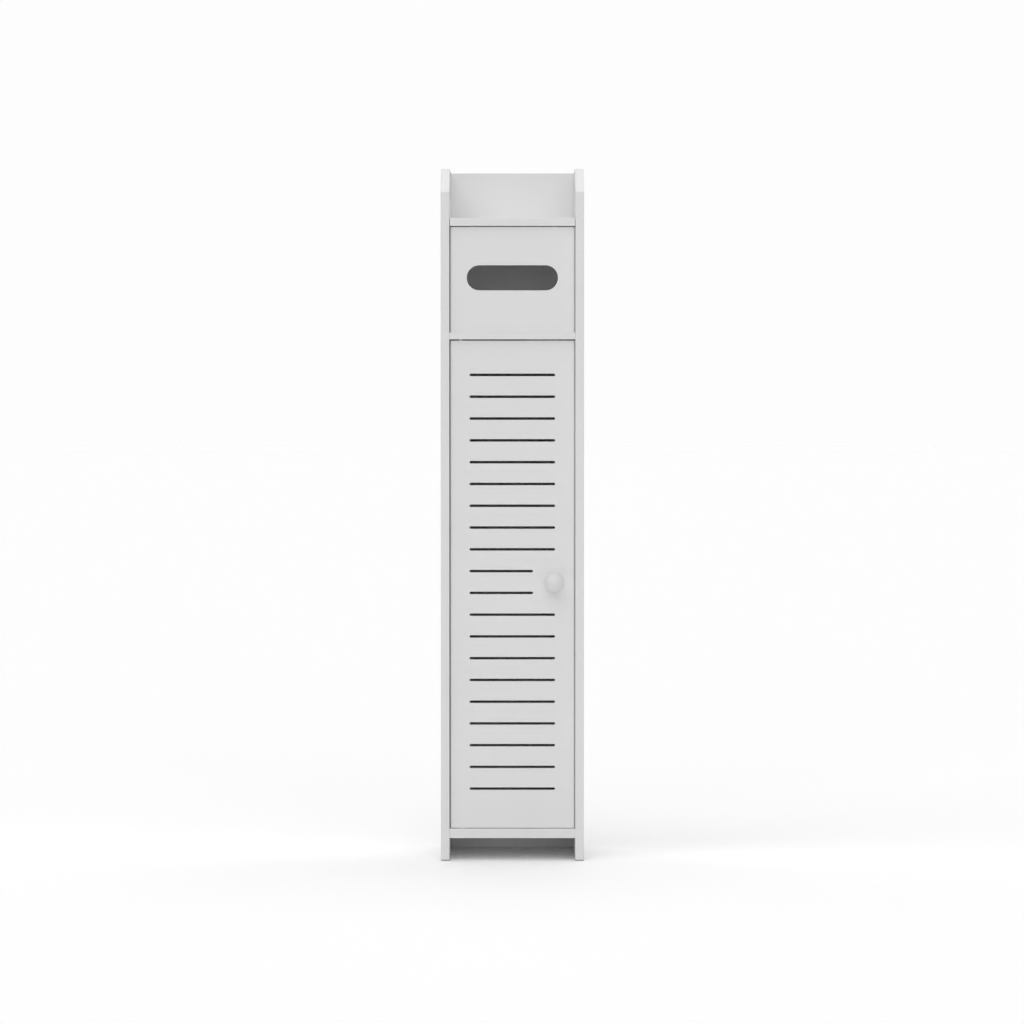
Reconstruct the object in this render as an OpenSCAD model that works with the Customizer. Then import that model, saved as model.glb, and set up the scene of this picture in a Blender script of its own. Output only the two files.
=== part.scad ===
// Slim bathroom cabinet for spare toilet rolls.
// Millimetres, +Z up, front towards -Y. The origin lies on the floor, midway between the two
// sides, and midway between the tip of the knob and the back.

/* [Carcass] */
// Overall width, over the outer faces of the two sides
body_w = 165; // [150:1:200]
// Depth from the front edges of the sides to the back
body_d = 160; // [140:1:220]
// Overall height, standing on the foot pads
body_h = 800; // [760:1:900]
// Thickness of each side board
side_t = 10; // [9:0.5:12]
// Thickness of the back board
back_t = 9; // [8:0.5:12]
// Height of the toe space under the bottom shelf
toe_h = 26.3; // [20:0.1:60]
// Thickness of the bottom shelf
bottom_t = 10.7; // [9:0.1:14]
// Thickness of the middle shelf
middle_t = 8; // [8:0.5:12]
// How far the shelf edges sit back from the front edges of the sides
shelf_set = 1; // [0:0.5:2]
// Thickness of a foot pad
pad_t = 1.2; // [1:0.1:3]
// Gap between the back board and the floor
back_foot = 0.3; // [0.2:0.1:1]

/* [Top tray] */
// Depth of the tray, from the top of the sides down to the lid
tray_h = 58.7; // [40:0.1:80]
// How far the chamfer of a side runs back along its top edge
chamfer_run = 46; // [20:1:70]
// How far the chamfer of a side drops down its front edge
chamfer_drop = 28.5; // [10:0.1:50]
// Thickness of the lid that is the floor of the tray
lid_t = 9; // [8:0.5:12]
// Gap at each end of the lid
lid_side_gap = 0.5; // [0.5:0.1:1.5]

/* [Tissue compartment] */
// Clear height between the middle shelf and the closed lid
tissue_h = 122.5; // [115:0.5:150]
// Length of the oval slot that the paper is pulled through
oval_l = 105; // [60:1:110]
// Height of the oval slot
oval_h = 29; // [20:0.1:40]
// Height of the middle of the oval slot above the middle shelf
oval_z = 62.9; // [50:0.1:70]

/* [Door] */
// Thickness of the door and of the tissue front
panel_t = 8.5; // [8:0.5:9.5]
// How far the door and the tissue front sit back from the sides' front edges
panel_set = 6.5; // [2:0.5:10]
// Radius of the rounded upright edges of the door and the tissue front
panel_round = 2; // [0.5:0.1:3]
// Gap at the left of the door, where it is hinged, and of the tissue front
left_gap = 1; // [0.7:0.1:1.5]
// Gap at the right of the door and of the tissue front
right_gap = 0.6; // [0.6:0.1:1.5]
// Gap above the door
top_gap = 1.4; // [1:0.1:3]
// Gap below the door, which the flange of the lower bush fills
foot_gap = 0.7; // [0.6:0.1:2]
// Distance from the door's left edge in to its pivot pins
hinge_inset = 12; // [12:0.5:20]
// Number of louvre slots, from the top of the door to its foot
slot_count = 20; // [12:2:22]
// Height of a louvre slot, which is the width of the cutter
slot_h = 3; // [2:0.2:5]
// Length of a full louvre slot, over its round ends
slot_l = 98.6; // [60:0.2:110]
// How much shorter the two slots beside the knob are
slot_cut = 25.4; // [24:0.2:36]
// Distance from the top of the door down to the first slot's middle
slots_top = 39.5; // [35:0.1:60]
// Distance from the foot of the door up to the last slot's middle
slots_foot = 45.3; // [20:0.1:60]

/* [Knob] */
// Diameter of the knob's head
knob_d = 22; // [20:0.5:24]
// Length of the knob out of the door
knob_l = 20; // [18:0.5:26]
// Distance of the knob to the right of the cabinet's middle
knob_x = 48.4; // [46:0.2:52]

/* [Fittings] */
// Diameter of the pivot pins of the door and the lid
pin_d = 4; // [3:0.5:4]
// Radial running clearance between a pivot pin and its bush
run_gap = 0.06; // [0.03:0.01:0.09]
// Diameter of the beech dowels
dowel_d = 5; // [4:0.5:5]
// Diameter of the board screws
screw_d = 3.5; // [3:0.5:4]
// Diameter of the small screws of the catch and its strike plate
small_screw_d = 3; // [2.5:0.5:3]
// Distance of the magnetic catch to the right of the cabinet's middle
catch_x = 40; // [30:1:42]

/* [Hidden] */

$fn = 48;
cut = 1;       // how far a cutting shape runs past the face it cuts
fit = 0.02;    // radial room round what is pressed or screwed into a board

white = [0.93, 0.93, 0.92];
plastic_white = [0.95, 0.95, 0.94];
nylon = [0.88, 0.87, 0.83];
steel = [0.72, 0.73, 0.75];
magnet_grey = [0.20, 0.20, 0.21];
beech = [0.80, 0.66, 0.47];
rubber_grey = [0.42, 0.42, 0.43];
silicone = [0.85, 0.87, 0.88];

// Depths, from the front edges of the sides to the back
front_y = -(body_d - knob_l + panel_set) / 2;
back_y = front_y + body_d;
shelf_y = front_y + shelf_set;
panel_y = front_y + panel_set;
panel_back_y = panel_y + panel_t;
inner_back_y = back_y - back_t;

// Widths
inner_x = body_w / 2 - side_t;
panel_left = -inner_x + left_gap;
panel_right = inner_x - right_gap;
lid_x = inner_x - lid_side_gap;

// Heights
bottom_z = toe_h + bottom_t;
lid_z = body_h - tray_h - lid_t;
middle_z = lid_z - tissue_h;
ceiling_z = middle_z - middle_t;
door_z = bottom_z + foot_gap;
door_top = ceiling_z - top_gap;
pad_l = 30;

// The pivot axes: the door's is set in so far that its rounded corner swings clear of the side,
// and the lid's lies in the middle of its half-round rear edge
door_axis = [panel_left + hinge_inset, panel_y + panel_t / 2];
lid_back_gap = 1.2;
lid_axis = [inner_back_y - lid_back_gap - lid_t / 2, lid_z + lid_t / 2];

// Pivot pins and their bushes
pin_r = pin_d / 2;
pin_in = 18;       // length of a pin inside the door or the lid
pin_out = 5;       // length of a pin inside its bush
bush_r = pin_r + 1.5;
bush_l = 6;
bush_floor = 0.6;    // thickness of the closed end of a bush
flange_r = bush_r + 0.6;
float_gap = 0.05;    // play between the door's foot and the flange that carries it

// Lid bumpers
bumper_t = 1.1;
bumper_r = 3;
tissue_top = lid_z - bumper_t;

// Louvre slots, counted from the top
slot_pitch = (door_top - door_z - slots_top - slots_foot) / (slot_count - 1);
short_slots = [slot_count / 2 - 1, slot_count / 2];
function slot_z(i) = door_top - slots_top - i * slot_pitch;
function is_short(i) = i == short_slots[0] || i == short_slots[1];
knob_z = (slot_z(short_slots[0]) + slot_z(short_slots[1])) / 2;

// Board screws go through the sides into the ends of the shelves and the back
screw_l = 30;
screw_head_d = 2 * screw_d;
small_head_d = 2 * small_screw_d;
small_screw_l = 8;
shelf_mid_zs = [toe_h + bottom_t / 2, ceiling_z + middle_t / 2];
shelf_screw_ys = [front_y + 30, inner_back_y - 30];
shelf_screw_at = [for (z = shelf_mid_zs, y = shelf_screw_ys) [y, z]];
back_screw_rows = 4;
back_screw_foot = 70;
back_screw_step = (body_h - 30 - back_screw_foot) / (back_screw_rows - 1);
back_screw_at = [for (i = [0:back_screw_rows - 1])
                     [back_y - back_t / 2, back_screw_foot + i * back_screw_step]];
side_screw_at = concat(shelf_screw_at, back_screw_at);
cap_r = 4.2;
cap_t = 0.4;

// Dowels: one in each shelf end, and two that stand in the middle shelf
dowel_in_side = 6;
dowel_in_shelf = 14;
dowel_y = (shelf_y + inner_back_y) / 2;
front_dowel_x = 48;
front_dowel_up = 14;
front_dowel_down = 5;
front_screw_x = 26;
front_screw_l = 25;
panel_mid_y = panel_y + panel_t / 2;

// Magnetic catch, hung under the middle shelf behind the door
catch_w = 30;
catch_h = 14;
catch_d = 14;
catch_ear = 8;
catch_ear_t = 3;
catch_back_gap = 1.6;    // from the back of the door to the front of the housing
pole_w = 24;
pole_t = 1.2;
pole_d = 10.5;
magnet_w = 22;
magnet_t = 4;
magnet_d = 9;
magnet_low = 0.5;        // how far the magnet lies below the middle of its housing
magnet_room = 0.1;       // from the pole plates to the ends of their chamber
catch_y = panel_back_y + catch_back_gap;
catch_mid_z = ceiling_z - catch_h / 2 - magnet_low;
strike_t = 1;
strike_gap = 0.1;        // from the strike plate to the poles
pole_y = panel_back_y + strike_t + strike_gap;
strike_w = 26;
strike_h = 10;

// A block between two opposite corners
module block(lo, hi) {
    translate(lo) cube(hi - lo);
}

// A rod along X, Y or Z, from one point
module rod_x(at, r, l) {
    translate(at) rotate([0, 90, 0]) cylinder(h = l, r = r);
}

module rod_y(at, r, l) {
    translate(at) rotate([-90, 0, 0]) cylinder(h = l, r = r);
}

module rod_z(at, r, l) {
    translate(at) cylinder(h = l, r = r);
}

// A countersunk screw: its head lies in the plane z = 0 and its point hangs down
module screw(d, l, head_d) {
    recess_w = 0.16 * head_d;
    recess_l = 0.55 * head_d;
    recess_t = 0.3 * d;
    difference() {
        rotate_extrude()
            polygon([[0, 0], [head_d / 2, 0], [d / 2, (d - head_d) / 2], [d / 2, d - l], [0, -l]]);
        for (turn = [0, 90])
            rotate([0, 0, turn])
                block([-recess_l / 2, -recess_w / 2, -recess_t], [recess_l / 2, recess_w / 2, cut]);
    }
}

// The hole that a countersunk screw fills
module screw_hole(d, l, head_d) {
    r = d / 2 + fit;
    head_r = head_d / 2 + fit;
    rotate_extrude()
        polygon([[0, cut], [head_r, cut], [head_r, 0], [r, r - head_r], [r, d - l - fit], [0, -l - fit]]);
}

// A dowel that stands on z = 0, with its two ends chamfered
module dowel(l) {
    r = dowel_d / 2;
    c = 0.6;
    rotate_extrude()
        polygon([[0, 0], [r - c, 0], [r, c], [r, l - c], [r - c, l], [0, l]]);
}

module dowel_hole(l) {
    end_room = 0.5;
    translate([0, 0, -end_room]) cylinder(h = l + 2 * end_room, r = dowel_d / 2 + fit);
}

// Puts its children on the right side's outer face, and mirrors them to the left side
module both_sides() {
    children();
    mirror([1, 0, 0]) children();
}

module on_right_face(places) {
    for (p = places)
        translate([body_w / 2, p[0], p[1]]) rotate([0, 90, 0]) children();
}

module at_shelf_dowels() {
    for (z = shelf_mid_zs)
        translate([inner_x - dowel_in_shelf, dowel_y, z]) rotate([0, 90, 0]) children();
}

module at_front_dowels() {
    for (x = [-front_dowel_x, front_dowel_x])
        translate([x, panel_mid_y, middle_z - front_dowel_down]) children();
}

module at_front_screws() {
    for (x = [-front_screw_x, front_screw_x])
        translate([x, panel_mid_y, ceiling_z]) rotate([180, 0, 0]) children();
}

module at_catch_screws() {
    for (s = [-1, 1])
        translate([catch_x + s * (catch_w + catch_ear) / 2, catch_y + catch_d / 2,
                   ceiling_z - catch_ear_t])
            rotate([180, 0, 0]) children();
}

// What is drilled into the boards from the sides, for screws and dowels
module side_drilling() {
    both_sides() {
        on_right_face(side_screw_at) screw_hole(screw_d, screw_l, screw_head_d);
        at_shelf_dowels() dowel_hole(dowel_in_shelf + dowel_in_side);
    }
}

// A side board, with its front upper corner cut off at a slant
module side_board() {
    difference() {
        translate([inner_x, 0, 0])
            rotate([90, 0, 90])
                linear_extrude(side_t)
                    polygon([[front_y, pad_t], [back_y, pad_t], [back_y, body_h],
                             [front_y + chamfer_run, body_h], [front_y, body_h - chamfer_drop]]);
        side_drilling();
        rod_x([inner_x - cut, lid_axis[0], lid_axis[1]], bush_r + fit, bush_l + cut);
    }
}

module left_side() {
    color(white) mirror([1, 0, 0]) side_board();
}

module right_side() {
    color(white) side_board();
}

module back_panel() {
    color(white) difference() {
        block([-inner_x, inner_back_y, back_foot], [inner_x, back_y, body_h]);
        side_drilling();
    }
}

module bottom_shelf() {
    color(white) difference() {
        block([-inner_x, shelf_y, toe_h], [inner_x, inner_back_y, bottom_z]);
        side_drilling();
        rod_z([door_axis[0], door_axis[1], bottom_z - bush_l], bush_r + fit, bush_l + cut);
    }
}

module middle_shelf() {
    color(white) difference() {
        block([-inner_x, shelf_y, ceiling_z], [inner_x, inner_back_y, middle_z]);
        side_drilling();
        rod_z([door_axis[0], door_axis[1], ceiling_z - cut], bush_r + fit, bush_l + cut);
        at_front_dowels() dowel_hole(front_dowel_up + front_dowel_down);
        at_front_screws() screw_hole(screw_d, front_screw_l, screw_head_d);
        at_catch_screws() screw_hole(small_screw_d, small_screw_l, small_head_d);
    }
}

// A slot with round ends that runs right through a panel along Y
module round_slot(x0, x1, z, h) {
    r = h / 2;
    deep = panel_t + 2 * cut;
    y = panel_y - cut;
    block([x0 + r, y, z - r], [x1 - r, y + deep, z + r]);
    for (x = [x0 + r, x1 - r])
        rod_y([x, y, z], r, deep);
}

// The outline of the door and of the tissue front from above, with rounded upright edges
module panel_outline() {
    r = panel_round;
    wide = panel_right - panel_left;
    union() {
        translate([panel_left + r, panel_y]) square([wide - 2 * r, panel_t]);
        translate([panel_left, panel_y + r]) square([wide, panel_t - 2 * r]);
        for (x = [panel_left + r, panel_right - r], y = [panel_y + r, panel_back_y - r])
            translate([x, y]) circle(r = r);
    }
}

module tissue_front() {
    color(white) difference() {
        translate([0, 0, middle_z]) linear_extrude(tissue_top - middle_z) panel_outline();
        round_slot(-oval_l / 2, oval_l / 2, middle_z + oval_z, oval_h);
        at_front_dowels() dowel_hole(front_dowel_up + front_dowel_down);
        at_front_screws() screw_hole(screw_d, front_screw_l, screw_head_d);
    }
}

// The lid's rear edge is half round, so that it turns clear of the back
module tray_lid() {
    color(white) difference() {
        union() {
            block([-lid_x, shelf_y, lid_z], [lid_x, lid_axis[0], lid_z + lid_t]);
            rod_x([-lid_x, lid_axis[0], lid_axis[1]], lid_t / 2, 2 * lid_x);
        }
        both_sides()
            rod_x([lid_x - pin_in, lid_axis[0], lid_axis[1]], pin_r + fit, pin_in + cut);
    }
}

module door_panel() {
    color(white) difference() {
        translate([0, 0, door_z]) linear_extrude(door_top - door_z) panel_outline();
        for (i = [0:slot_count - 1])
            round_slot(-slot_l / 2, slot_l / 2 - (is_short(i) ? slot_cut : 0), slot_z(i), slot_h);
        rod_z([door_axis[0], door_axis[1], door_top - pin_in], pin_r + fit, pin_in + cut);
        rod_z([door_axis[0], door_axis[1], door_z - cut], pin_r + fit, pin_in + cut);
        rod_y([knob_x, panel_y - cut, knob_z], knob_bore_r + fit, panel_t + 2 * cut);
        at_strike_screw() screw_hole(small_screw_d, small_screw_l, small_head_d);
    }
}

// The knob's half section, turned about the line x = 0: foot, neck, rim and dome
knob_bore_r = 2;
knob_bore_l = 11;
foot_r = 7.5;
foot_l = 2.5;
foot_round = 1;
neck_r = 5;
neck_fillet = 1.5;
flare_r = 6;         // radius of the hollow between the neck and the underside of the head
rim_r = 2.6;
rim_x = knob_d / 2 - rim_r;
rim_z = knob_l - 6.8;
// The dome's circle touches the rim's without a crease
dome_reach = knob_l - rim_r;
dome_z = (pow(dome_reach, 2) - pow(rim_x, 2) - pow(rim_z, 2)) / (2 * (dome_reach - rim_z));
dome_r = knob_l - dome_z;
module knob_section() {
    fillet_z = foot_l + neck_fillet;
    flare_z = fillet_z + foot_round;
    difference() {
        union() {
            square([foot_r, foot_l - foot_round]);
            square([foot_r - foot_round, foot_l]);
            translate([foot_r - foot_round, foot_l - foot_round]) circle(r = foot_round);
            difference() {
                square([neck_r + neck_fillet, fillet_z]);
                translate([neck_r + neck_fillet, fillet_z]) circle(r = neck_fillet);
            }
            square([neck_r, rim_z]);
            difference() {
                translate([0, flare_z]) square([rim_x, rim_z - flare_z]);
                translate([neck_r + flare_r, flare_z]) circle(r = flare_r);
            }
            translate([rim_x, rim_z]) circle(r = rim_r);
            intersection() {
                translate([0, dome_z]) circle(r = dome_r, $fn = 96);
                translate([0, rim_z]) square([rim_x * dome_r / (dome_r - rim_r), knob_l]);
            }
        }
        translate([-knob_d, -cut]) square([knob_d, knob_l + 2 * cut]);
        translate([0, -cut]) square([knob_bore_r + fit, knob_bore_l + cut]);
    }
}

module knob() {
    color(plastic_white)
        translate([knob_x, panel_y, knob_z]) rotate([90, 0, 0]) rotate_extrude() knob_section();
}

// A pan-headed screw from the back of the door into the knob
module knob_screw() {
    head_r = 4;
    head_l = 2.6;
    in_knob = 10;
    recess_x = 2.2;
    recess_w = 1;
    recess_t = 1.3;
    color(steel)
        translate([knob_x, panel_back_y, knob_z]) rotate([-90, 0, 0]) difference() {
            union() {
                translate([0, 0, -panel_t - in_knob])
                    cylinder(h = panel_t + in_knob + head_l / 2, r = knob_bore_r);
                cylinder(h = head_l / 2, r = head_r);
                translate([0, 0, head_l / 2]) cylinder(h = head_l / 2, r1 = head_r, r2 = head_r - 1);
            }
            for (turn = [0, 90])
                rotate([0, 0, turn])
                    block([-recess_x, -recess_w / 2, head_l - recess_t],
                          [recess_x, recess_w / 2, head_l + cut]);
        }
}

// A pivot pin that stands on z = 0, with its free end chamfered
module pivot_pin(gap) {
    l = pin_in + gap + pin_out;
    c = 0.5;
    rotate_extrude()
        polygon([[0, 0], [pin_r, 0], [pin_r, l - c], [pin_r - c, l], [0, l]]);
}

module upper_door_pin() {
    color(steel)
        translate([door_axis[0], door_axis[1], door_top - pin_in]) pivot_pin(top_gap);
}

module lower_door_pin() {
    color(steel)
        translate([door_axis[0], door_axis[1], door_z + pin_in]) rotate([180, 0, 0]) pivot_pin(foot_gap);
}

module right_pin() {
    translate([lid_x - pin_in, lid_axis[0], lid_axis[1]])
        rotate([0, 90, 0]) pivot_pin(lid_side_gap);
}

module left_lid_pin() {
    color(steel) mirror([1, 0, 0]) right_pin();
}

module right_lid_pin() {
    color(steel) right_pin();
}

// A bush whose mouth lies in the plane z = 0 and whose body hangs down. Its flange, if it has
// one, stands up from that plane.
module bush(flange_t) {
    bore_r = pin_r + run_gap;
    difference() {
        union() {
            translate([0, 0, -bush_l]) cylinder(h = bush_l + flange_t, r = bush_r);
            if (flange_t > 0)
                cylinder(h = flange_t, r = flange_r);
        }
        translate([0, 0, bush_floor - bush_l]) cylinder(h = bush_l + flange_t + cut, r = bore_r);
    }
}

module upper_door_bush() {
    color(nylon)
        translate([door_axis[0], door_axis[1], ceiling_z]) rotate([180, 0, 0]) bush(0);
}

// The flange of the lower bush carries the weight of the door
module lower_door_bush() {
    color(nylon)
        translate([door_axis[0], door_axis[1], bottom_z]) bush(foot_gap - float_gap);
}

module right_bush() {
    translate([inner_x, lid_axis[0], lid_axis[1]]) rotate([0, -90, 0]) bush(0);
}

module left_lid_bush() {
    color(nylon) mirror([1, 0, 0]) right_bush();
}

module right_lid_bush() {
    color(nylon) right_bush();
}

// Two soft domes on the tissue front that the closed lid rests on
module lid_bumpers() {
    color(silicone)
        for (x = [-front_dowel_x, front_dowel_x])
            translate([x, panel_mid_y, tissue_top])
                cylinder(h = bumper_t, r1 = bumper_r, r2 = bumper_r - 0.8);
}

// The housing of the catch: a block with an ear at each end, hollow at the front for the magnet
module catch_housing() {
    room = pole_t * 2 + magnet_t;
    ear_y = catch_y + catch_d / 2;
    color(plastic_white) difference() {
        union() {
            block([catch_x - catch_w / 2, catch_y, ceiling_z - catch_h],
                  [catch_x + catch_w / 2, catch_y + catch_d, ceiling_z]);
            for (s = [-1, 1])
                rod_z([catch_x + s * (catch_w + catch_ear) / 2, ear_y, ceiling_z - catch_ear_t],
                      catch_ear / 2, catch_ear_t);
            block([catch_x - (catch_w + catch_ear) / 2, ear_y - catch_ear / 2, ceiling_z - catch_ear_t],
                  [catch_x + (catch_w + catch_ear) / 2, ear_y + catch_ear / 2, ceiling_z]);
        }
        block([catch_x - pole_w / 2 - magnet_room, catch_y - cut, catch_mid_z - room / 2],
              [catch_x + pole_w / 2 + magnet_room, pole_y + pole_d, catch_mid_z + room / 2]);
        at_catch_screws() screw_hole(small_screw_d, small_screw_l, small_head_d);
    }
}

module catch_magnet() {
    color(magnet_grey)
        block([catch_x - magnet_w / 2, pole_y + pole_d - magnet_d, catch_mid_z - magnet_t / 2],
              [catch_x + magnet_w / 2, pole_y + pole_d, catch_mid_z + magnet_t / 2]);
}

// Two steel plates that lead the magnet's pull to the strike plate
module catch_poles() {
    color(steel)
        for (s = [-1, 1])
            translate([catch_x, 0, catch_mid_z + s * (magnet_t + pole_t) / 2])
                block([-pole_w / 2, pole_y, -pole_t / 2], [pole_w / 2, pole_y + pole_d, pole_t / 2]);
}

module catch_screws() {
    color(steel) at_catch_screws() screw(small_screw_d, small_screw_l, small_head_d);
}

// The strike plate lies on the back of the door, facing the catch
module at_strike_screw() {
    translate([catch_x, panel_back_y + strike_t, catch_mid_z]) rotate([-90, 0, 0]) children();
}

module strike_plate() {
    r = 2;
    color(steel) difference() {
        translate([catch_x, panel_back_y, catch_mid_z]) {
            block([-strike_w / 2 + r, 0, -strike_h / 2], [strike_w / 2 - r, strike_t, strike_h / 2]);
            block([-strike_w / 2, 0, -strike_h / 2 + r], [strike_w / 2, strike_t, strike_h / 2 - r]);
            for (x = [-1, 1], z = [-1, 1])
                rod_y([x * (strike_w / 2 - r), 0, z * (strike_h / 2 - r)], r, strike_t);
        }
        at_strike_screw() screw_hole(small_screw_d, small_screw_l, small_head_d);
    }
}

module strike_screw() {
    color(steel) at_strike_screw() screw(small_screw_d, small_screw_l, small_head_d);
}

module shelf_dowels() {
    color(beech) both_sides() at_shelf_dowels() dowel(dowel_in_shelf + dowel_in_side);
}

module tissue_front_dowels() {
    color(beech) at_front_dowels() dowel(front_dowel_up + front_dowel_down);
}

module tissue_front_screws() {
    color(steel) at_front_screws() screw(screw_d, front_screw_l, screw_head_d);
}

module shelf_screws() {
    color(steel) both_sides() on_right_face(shelf_screw_at) screw(screw_d, screw_l, screw_head_d);
}

module back_screws() {
    color(steel) both_sides() on_right_face(back_screw_at) screw(screw_d, screw_l, screw_head_d);
}

// Thin covers over the screw heads in the outer faces of the sides
module screw_caps() {
    color(plastic_white) both_sides() on_right_face(side_screw_at)
        cylinder(h = cap_t, r1 = cap_r, r2 = cap_r - cap_t);
}

module foot_pads() {
    color(rubber_grey)
        both_sides()
            for (y = [front_y + 1, back_y - pad_l - 1])
                block([inner_x, y, 0], [body_w / 2, y + pad_l, pad_t]);
}

left_side();
right_side();
back_panel();
bottom_shelf();
middle_shelf();
tissue_front();
tray_lid();
door_panel();
knob();
knob_screw();
upper_door_pin();
lower_door_pin();
upper_door_bush();
lower_door_bush();
left_lid_pin();
right_lid_pin();
left_lid_bush();
right_lid_bush();
lid_bumpers();
catch_housing();
catch_magnet();
catch_poles();
catch_screws();
strike_plate();
strike_screw();
shelf_dowels();
tissue_front_dowels();
tissue_front_screws();
shelf_screws();
back_screws();
screw_caps();
foot_pads();
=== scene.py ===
"""The looks of a slim white bathroom cabinet for spare toilet rolls.

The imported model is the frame: every board, pin and screw lies where the construction has it.
This script eases and lacquers the boards, turns the knob and the small fittings as smooth
pieces, dresses what is left, and sets up the studio and the camera. Metres, +Z up, front
towards -Y.
"""

import logging
import math
from dataclasses import dataclass, field
from enum import Enum
from typing import ClassVar, Iterable, Mapping

import bmesh
import bpy
from mathutils import Matrix, Vector


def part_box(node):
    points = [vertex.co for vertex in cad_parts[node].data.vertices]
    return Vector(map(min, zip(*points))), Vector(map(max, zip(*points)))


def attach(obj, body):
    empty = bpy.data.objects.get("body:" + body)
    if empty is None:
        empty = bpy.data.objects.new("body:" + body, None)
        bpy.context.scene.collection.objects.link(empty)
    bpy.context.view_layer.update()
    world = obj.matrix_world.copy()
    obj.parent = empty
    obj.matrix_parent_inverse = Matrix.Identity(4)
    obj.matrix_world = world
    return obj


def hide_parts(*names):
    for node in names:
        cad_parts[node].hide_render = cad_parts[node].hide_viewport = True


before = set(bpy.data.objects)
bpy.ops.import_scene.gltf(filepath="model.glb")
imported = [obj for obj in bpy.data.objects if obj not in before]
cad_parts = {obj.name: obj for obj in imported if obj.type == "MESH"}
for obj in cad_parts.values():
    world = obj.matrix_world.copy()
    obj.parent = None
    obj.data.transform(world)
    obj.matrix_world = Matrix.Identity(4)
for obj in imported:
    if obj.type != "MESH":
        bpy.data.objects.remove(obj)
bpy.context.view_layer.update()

LOG = logging.getLogger("cabinet")
MM = 0.001
MERGE_DISTANCE = 0.001 * MM
FLAT_ANGLE = math.radians(0.5)
SHARP_ANGLE = math.radians(40)
FASTENER_RIM = 9 * MM  # smaller rims belong to holes for fasteners
CUT_EDGE = "cut_edge"
CUT_EDGE_TILT = 0.5  # a cut edge's normal has less than this along the board's thin direction

Colour = tuple[float, float, float, float]
Profile = list[tuple[float, float]]


def grey(level: float) -> Colour:
    """The grey with a linear level."""
    return (level, level, level, 1.0)


def shaded(colour: Colour, share: float) -> Colour:
    """A colour with a share of its light."""
    return (share * colour[0], share * colour[1], share * colour[2], 1.0)


class Body(Enum):
    """The bodies of the frame that the pieces ride on."""

    CARCASS = "carcass"
    DOOR = "door"
    LID = "lid"


class Slot(Enum):
    """The material slots of the record."""

    BOARD = "board_white"
    KNOB = "knob_white"
    CAP = "cap_white"
    NYLON = "nylon"
    STEEL = "zinc_steel"
    MAGNET = "magnet"
    BEECH = "beech"
    SILICONE = "silicone"
    PAD = "pad_grey"


class Axis(Enum):
    """A direction of the frame."""

    X = Vector((1, 0, 0))
    Y = Vector((0, 1, 0))
    Z = Vector((0, 0, 1))


# ---------------------------------------------------------------- node trees


class Wiring:
    """Adds nodes to one tree and links their sockets."""

    def __init__(self, tree: bpy.types.NodeTree) -> None:
        """Keeps the tree that the nodes go into."""
        self.tree = tree

    @classmethod
    def fresh(cls, owner: bpy.types.Material | bpy.types.World) -> "Wiring":
        """Clears the nodes of a material or a world, and returns the wiring of its tree."""
        owner.use_nodes = True
        owner.node_tree.nodes.clear()
        return cls(owner.node_tree)

    def feed(self, socket: bpy.types.NodeSocket, value: object) -> None:
        """Feeds a socket with another one, or with a constant."""
        if isinstance(value, bpy.types.NodeSocket):
            self.tree.links.new(value, socket)
        else:
            socket.default_value = value

    def node(
        self, kind: str, inputs: Mapping[str | int, object], **settings: object
    ) -> bpy.types.Node:
        """Adds one node.

        Args:
            kind: Blender's name of the node, without the leading ShaderNode.
            inputs: for each input's name or number, a constant or the socket that feeds it.
            settings: properties of the node.

        Returns:
            The node.
        """
        made = self.tree.nodes.new(f"ShaderNode{kind}")
        for key, value in settings.items():
            setattr(made, key, value)
        for key, value in inputs.items():
            self.feed(made.inputs[key], value)
        return made

    def math(self, operation: str, first: object, second: object) -> bpy.types.NodeSocket:
        """Adds a Math node and returns its result."""
        return self.node("Math", {0: first, 1: second}, operation=operation).outputs[0]

    def ramp(
        self, value: object, start: object, end: object, low: object, high: object
    ) -> bpy.types.NodeSocket:
        """Maps a value from start..end to low..high, clamped, and returns the result."""
        inputs = {
            "Value": value, "From Min": start, "From Max": end, "To Min": low, "To Max": high,
        }
        return self.node("MapRange", inputs).outputs["Result"]

    def blend(self, share: object, first: Colour, second: Colour) -> bpy.types.NodeSocket:
        """Mixes two colours, the second by a share, and returns the result."""
        made = self.node("Mix", {}, data_type="RGBA")
        sockets = {s.name: s for s in made.inputs if s.enabled}
        for key, value in {"Factor": share, "A": first, "B": second}.items():
            self.feed(sockets[key], value)
        return next(s for s in made.outputs if s.enabled)


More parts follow.
